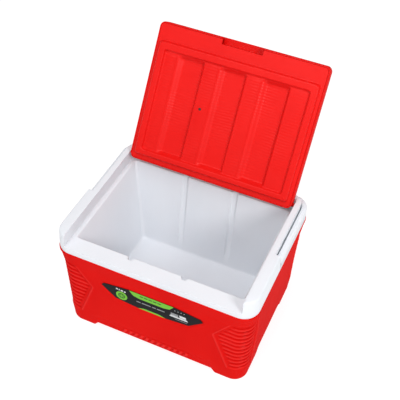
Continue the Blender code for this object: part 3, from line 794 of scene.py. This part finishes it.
# ---------------------------------------------------------------- handle
def make_handle():
    """A flat band with softly rounded edges and ends."""
    mid_inset = HANDLE_OUT + HANDLE_T / 2
    half_x, back = HALF_W - mid_inset, HALF_D - mid_inset
    radius = CORNER_R - mid_inset
    end_r, half_t = HANDLE_H / 2, HANDLE_T / 2
    drops = [-end_r * math.cos(math.radians(a)) for a in (6, 16, 27, 38, 50, 62, 75, 90)]
    path = [(half_x, PIVOT_Y + s, s) for s in drops]
    path += [(half_x, y, 0.0) for y in (0.012, 0.030, 0.060)]
    path += [(x, y, 0.0) for x, y in around_back(half_x, 0.090, back, radius)]
    path += [(-x, y, s) for x, y, s in reversed(path[: len(drops) + 3])]
    bm = bmesh.new()
    rows = []
    for i, (x, y, s) in enumerate(path):
        before, after = path[max(i - 1, 0)], path[min(i + 1, len(path) - 1)]
        along = Vector((after[0] - before[0], after[1] - before[1])).normalized()
        tall = math.sqrt(max(end_r**2 - s**2, 0.0))
        edge = min(0.0022, tall * 0.6)
        section = []
        for cu, cv, start in ((1, 1, 0), (-1, 1, 90), (-1, -1, 180), (1, -1, 270)):
            centre = (cu * (half_t - edge), cv * (tall - edge))
            section += arc(*centre, edge, start, start + 90, 5)
        rows.append(
            [bm.verts.new((x + along.y * u, y - along.x * u, PIVOT_Z + v)) for u, v in section]
        )
    count = len(rows[0])
    for near, far in zip(rows, rows[1:]):
        for i in range(count):
            j = (i + 1) % count
            bm.faces.new((near[i], near[j], far[j], far[i]))
    bm.faces.new(rows[0][::-1])
    bm.faces.new(rows[-1])
    bmesh.ops.recalc_face_normals(bm, faces=bm.faces)
    bar = mesh_object("handle_bar", bm)
    bar.data.shade_smooth()
    bar.data.set_sharp_from_angle(angle=math.radians(50))
    finish_piece(bar, "handle", "white_handle", white_handle, "bail_handle")


# ---------------------------------------------------------------- lid
def lid_ring(z, inset):
    return rounded(LID_X - inset, LID_FRONT + inset, LID_BACK - inset, LID_R - inset, z)


def make_lid_skin():
    skin = LID_SKIN
    deck = LID_TOP - 0.0015
    rings = [
        lid_ring(LID_TOP - skin - 0.0015, skin + 0.0020),
        lid_ring(LID_TOP - skin - 0.0030, skin),
        lid_ring(LID_UNDER, skin),
        lid_ring(LID_UNDER, 0.0012),
        lid_ring(LID_UNDER + 0.0003, 0.0005),
        lid_ring(LID_UNDER + 0.0012, 0.0),
        lid_ring(LID_TOP - 0.0042, 0.0),
        lid_ring(LID_TOP - 0.0022, 0.0005),
        lid_ring(LID_TOP - 0.0009, 0.0015),
        lid_ring(LID_TOP - 0.0002, 0.0030),
        lid_ring(LID_TOP, 0.0046),
        rounded(LID_X - 0.0195, LID_FRONT + 0.0255, LID_BACK - 0.0155, 0.0105, LID_TOP),
        rounded(LID_X - 0.0202, LID_FRONT + 0.0262, LID_BACK - 0.0162, 0.0098, LID_TOP - 0.0004),
        rounded(LID_X - 0.0212, LID_FRONT + 0.0272, LID_BACK - 0.0172, 0.0088, deck + 0.0002),
        rounded(LID_X - 0.0222, LID_FRONT + 0.0282, LID_BACK - 0.0182, 0.0078, deck),
    ]
    cover = loft("lid_skin", rings)
    wall = 0.0025
    box = block(
        "finger_box",
        -FINGER_X - wall,
        FINGER_X + wall,
        LID_FRONT + 0.0012,
        FINGER_Y + wall,
        LID_UNDER + 0.0027,
        LID_TOP - 0.002,
    )
    boolean(cover, box, "UNION")
    recess = block("recess", -FINGER_X, FINGER_X, LID_FRONT - 0.01, FINGER_Y, 0.18, FINGER_Z)
    boolean(cover, recess)
    bevel(cover, 0.0007, 45, 3)
    finish_piece(cover, "lid", "red_lid", red_lid, "lid_cover", place=LID_PLACE)


def grid_lines(low, high, coarse, features, fixed=()):
    """Mesh lines from low to high: coarse ones, and fine ones at each (centre, reach, step)."""
    lines = list(np.linspace(low, high, int((high - low) / coarse) + 1))
    for centre, reach, step in features:
        near = np.arange(centre - reach, centre + reach + step / 2, step)
        lines = [v for v in lines if abs(v - centre) > reach + step * 0.6 or v in (low, high)]
        lines += [v for v in near if low < v < high]
    lines = sorted(lines)
    kept = [low]
    for v in lines[1:]:
        if v - kept[-1] > 0.00022:
            kept.append(v)
    kept[-1] = high
    for value in fixed:
        kept[int(np.argmin(np.abs(np.array(kept) - value)))] = value
    return np.array(kept)


def round_corners(x, y, half_x, front, back, radius):
    """Moves grid points in the corner squares onto quarter discs."""
    cy, half_y = (front + back) / 2, (back - front) / 2
    a = np.maximum(np.abs(x) - (half_x - radius), 0.0)
    b = np.maximum(np.abs(y - cy) - (half_y - radius), 0.0)
    both = (a > 0) & (b > 0)
    reach = np.maximum(a, b)
    low = np.minimum(a, b) / np.maximum(reach, 1e-9)
    turn = np.where(a >= b, math.pi / 4 * low, math.pi / 2 - math.pi / 4 * low)
    nx = np.sign(x) * (half_x - radius + reach * np.cos(turn))
    ny = cy + np.sign(y - cy) * (half_y - radius + reach * np.sin(turn))
    return np.where(both, nx, x), np.where(both, ny, y)


def lid_underside(x, y):
    """Height of the lid's underside, from the flange down to the ring and up into the pits."""
    ring = smooth(-rect_distance(x, y, *RING) - 0.0006, 0.0034)
    tray = smooth(-rect_distance(x, y, *TRAY) - 0.0004, 0.0034)
    z = LID_UNDER + (RING_Z - LID_UNDER) * ring + (TRAY_Z - RING_Z) * tray
    ends = smooth(y - TRAY[1] - 0.0050, 0.0076) * smooth(TRAY[2] - 0.0034 - y, 0.0050)
    pits = np.zeros_like(x)
    for centre in PIT_X:
        climb = np.clip((x - (centre - PIT_HALF_X) + 0.0080) / 0.0092, 0.0, 1.0)
        left = 0.5 * climb + 0.5 * climb * climb * (3.0 - 2.0 * climb)
        right = smooth((centre + PIT_HALF_X) - x - 0.0004, 0.0044)
        pits = pits + left * right
    z = z + (PIT_Z - TRAY_Z) * pits * ends
    for centre in PIT_X:
        edge = (x - (centre - PIT_HALF_X - 0.0092)) / 0.0009
        z = z - 0.0004 * np.exp(-(edge**2)) * ends * tray
    crown = np.zeros_like(x)
    for centre in (-0.108, -0.036, 0.036, 0.108):
        crown = crown + np.exp(-(((x - centre) / 0.012) ** 2))
    z = z - 0.0004 * crown * ends * tray
    inner = smooth(-rect_distance(x, y, *TRAY) - 0.006, 0.006)
    patch = 0.5 + 0.5 * np.sin(x * 71.0 + 1.3) * np.cos(y * 53.0 - 0.4)
    ripple = np.sin(y * 2 * math.pi / 0.0046 + 1.2 * np.sin(x * 45.0))
    z = z + 0.00017 * ripple * inner * patch
    return z + 0.00012 * np.sin(x * 90.0 + y * 37.0) * np.cos(y * 61.0) * tray


def make_lid_panel():
    half_x, front, back, radius = PANEL
    edges = [(s * v, 0.0026, 0.00055) for s in (-1, 1) for v in (RING[0], TRAY[0])]
    for centre in PIT_X:
        edges += [(centre - PIT_HALF_X - 0.004, 0.0066, 0.0007), (centre + PIT_HALF_X, 0.0030, 0.0005)]
    xs = grid_lines(-half_x, half_x, 0.0030, edges, (-FINGER_X, FINGER_X))
    edges = [(v, 0.0026, 0.00055) for v in (RING[1], RING[2], TRAY[1], TRAY[2])]
    edges += [(TRAY[1] + 0.0050, 0.0048, 0.0008), (TRAY[2] - 0.0040, 0.0036, 0.0006)]
    ys = grid_lines(front, back, 0.0012, edges, (FINGER_Y,))
    px, py = np.meshgrid(xs, ys, indexing="ij")
    gx, gy = round_corners(px, py, *PANEL)
    gz = lid_underside(gx, gy)
    rows, cols = gx.shape
    keep = np.ones((rows - 1, cols - 1), bool)
    mid_x, mid_y = (xs[1:] + xs[:-1]) / 2, (ys[1:] + ys[:-1]) / 2
    keep[np.ix_(np.abs(mid_x) < FINGER_X, mid_y < FINGER_Y)] = False
    bm = bmesh.new()
    verts = {}

    def vertex(i, j):
        if (i, j) not in verts:
            verts[i, j] = bm.verts.new((gx[i, j], gy[i, j], gz[i, j]))
        return verts[i, j]

    for i in range(rows - 1):
        for j in range(cols - 1):
            if keep[i, j]:
                corners = ((i, j), (i, j + 1), (i + 1, j + 1), (i + 1, j))
                bm.faces.new([vertex(*corner) for corner in corners])
    rim = [edge for edge in bm.edges if edge.is_boundary]
    raised = bmesh.ops.extrude_edge_only(bm, edges=rim)
    for item in raised["geom"]:
        if isinstance(item, bmesh.types.BMVert):
            item.co.z = 0.1932
    top = [edge for edge in bm.edges if edge.is_boundary]
    bmesh.ops.contextual_create(bm, geom=top)
    bmesh.ops.recalc_face_normals(bm, faces=bm.faces)
    panel = mesh_object("lid_underside_panel", bm)
    panel.data.shade_smooth()
    panel.data.set_sharp_from_angle(angle=math.radians(55))
    finish_piece(panel, "lid", "red_lid_panel", red_panel, "lid_inner_panel", place=LID_PLACE)


def turned(name, layers, segments=32):
    """An upright turned piece from (radius, height) layers, bottom to top."""
    turn = [2 * math.pi * k / segments for k in range(segments)]
    return loft(name, [[(r * math.cos(a), r * math.sin(a), z) for a in turn] for r, z in layers])


def make_gate_mark():
    """The small pip left on the underside where the plastic was injected."""
    layers = ((0.0009, -0.00035), (0.0016, -0.0002), (0.0019, 0.0003), (0.0019, 0.0010))
    pip = turned("lid_gate_mark", layers, 20)
    pip.data.shade_smooth()
    pip.data.transform(Matrix.Translation((0.1282, 0.0865, RING_Z)))
    finish_piece(pip, "lid", "red_lid_panel", red_panel, place=LID_PLACE)


def make_lid_plug():
    """The dark plug in the hole through which the lid was filled with foam."""
    low = TRAY_Z - 0.0006
    layers = (
        (0.0007, low + 0.0002),
        (0.0016, low),
        (0.0022, low + 0.00025),
        (0.0025, low + 0.0007),
        (0.0025, TRAY_Z + 0.002),
    )
    plug = turned("lid_plug_button", layers, 28)
    plug.data.shade_smooth()
    plug.data.transform(Matrix.Translation((-0.0424, -0.0079, 0.0)))
    finish_piece(plug, "lid", "dark_plug", dark_plug, "lid_fill_plug", place=LID_PLACE)


# ---------------------------------------------------------------- CAD nodes that stay
def dress_cad_nodes():
    looks = {
        "body_foam": foam_look,
        "lid_foam": foam_look,
        "base_fill_plug": red_shell,
        "handle_pivot_left": white_handle,
        "handle_pivot_right": white_handle,
        "lid_hinge_pin_left": red_lid,
        "lid_hinge_pin_right": red_lid,
    }
    for name, look in looks.items():
        node = frame["nodes"][name]
        node.data.materials.clear()
        node.data.materials.append(look)


# ---------------------------------------------------------------- stage, light and camera
def make_floor():
    n = Nodes("pale_floor")
    tint = n.mix(n.ramp(n.noise(3.0), 0.0, 1.0), (0.30, 0.30, 0.305, 1.0), (0.28, 0.28, 0.285, 1.0))
    n.put(n.shader.inputs["Base Color"], tint)
    n.shader.inputs["Roughness"].default_value = 0.8
    n.shader.inputs["Emission Color"].default_value = (1.0, 1.0, 1.0, 1.0)
    n.shader.inputs["Emission Strength"].default_value = 0.80
    size, steps = 40.0, 12
    line = np.linspace(-size, size, steps + 1)
    points = [(x, y, 0.0) for y in line for x in line]
    faces = []
    for r in range(steps):
        for c in range(steps):
            a = r * (steps + 1) + c
            faces.append((a, a + 1, a + steps + 2, a + steps + 1))
    floor = grid_object("floor", points, faces)
    floor.data.materials.append(n.material)


def area_light(name, place, aim, size, power, colour=(1.0, 1.0, 1.0)):
    data = bpy.data.lights.new(name, "AREA")
    data.shape = "DISK"
    data.size = size
    data.energy = power
    data.color = colour
    lamp = bpy.data.objects.new(name, data)
    lamp.location = place
    lamp.rotation_euler = (Vector(aim) - Vector(place)).to_track_quat("-Z", "Y").to_euler()
    bpy.context.scene.collection.objects.link(lamp)


def make_light():
    world = bpy.data.worlds.new("studio")
    world.use_nodes = True
    background = world.node_tree.nodes["Background"]
    background.inputs["Color"].default_value = (1.0, 1.0, 1.0, 1.0)
    background.inputs["Strength"].default_value = 0.49
    bpy.context.scene.world = world
    area_light("key", (1.9, -1.3, 1.7), (0.0, 0.0, 0.15), 0.9, 32.0)
    area_light("front", (-0.3, -1.5, 2.0), (0.0, 0.0, 0.1), 1.4, 14.0)
    area_light("top", (-0.1, -0.4, 2.3), (0.0, 0.0, 0.1), 1.2, 14.0)


def make_camera():
    data = bpy.data.cameras.new("camera")
    data.sensor_width = 36.0
    data.lens = CAMERA_LENS
    data.clip_start = 0.05
    made = bpy.data.objects.new("camera", data)
    made.location = CAMERA_AT
    made.rotation_euler = CAMERA_TURN
    bpy.context.scene.collection.objects.link(made)
    bpy.context.scene.camera = made


CAMERA_AT = (0.33355, -0.81008, 1.07532)
CAMERA_TURN = (0.78334, -0.03411, 0.42150)
CAMERA_LENS = 69.634

make_shell()
make_label()
make_liner()
make_handle()
make_lid_skin()
make_lid_panel()
make_gate_mark()
make_lid_plug()
dress_cad_nodes()
make_floor()
make_light()
make_camera()

view = bpy.context.scene.view_settings
view.view_transform = "Standard"
view.look = "None"
